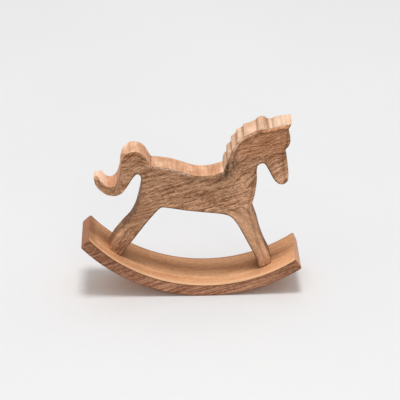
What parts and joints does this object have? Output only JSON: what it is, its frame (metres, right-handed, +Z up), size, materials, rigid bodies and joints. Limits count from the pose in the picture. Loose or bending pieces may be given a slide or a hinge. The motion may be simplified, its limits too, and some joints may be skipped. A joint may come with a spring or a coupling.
{
  "type": "rocking horse",
  "caption": "Small wooden rocking horse ornament: a flat horse cut from one thick slab, with a stepped mane and a hooked tail, standing on a wide curved rocker board.",
  "frame": {"origin": "on the floor, below the middle of the toy's length and width, as it stands nose down", "axes": "+X towards the head, +Y across to the horse's own left side, +Z up"},
  "size_m": [0.2404, 0.06, 0.1993],
  "materials": {
    "horse_wood": "sanded hardwood with a thin satin oil, visible streaky grain",
    "rocker_wood": "sanded hardwood with a thin satin oil, redder and darker at its sides",
    "plug_wood": "sanded hardwood, face grain",
    "screw_steel": "plain zinc-plated steel"
  },
  "bodies": {
    "root": {"horse": "horse_wood", "rocker": "rocker_wood", "rear_leg_screw": "screw_steel", "front_leg_screw": "screw_steel", "rear_screw_plug": "plug_wood", "front_screw_plug": "plug_wood"}
  },
  "joints": []
}
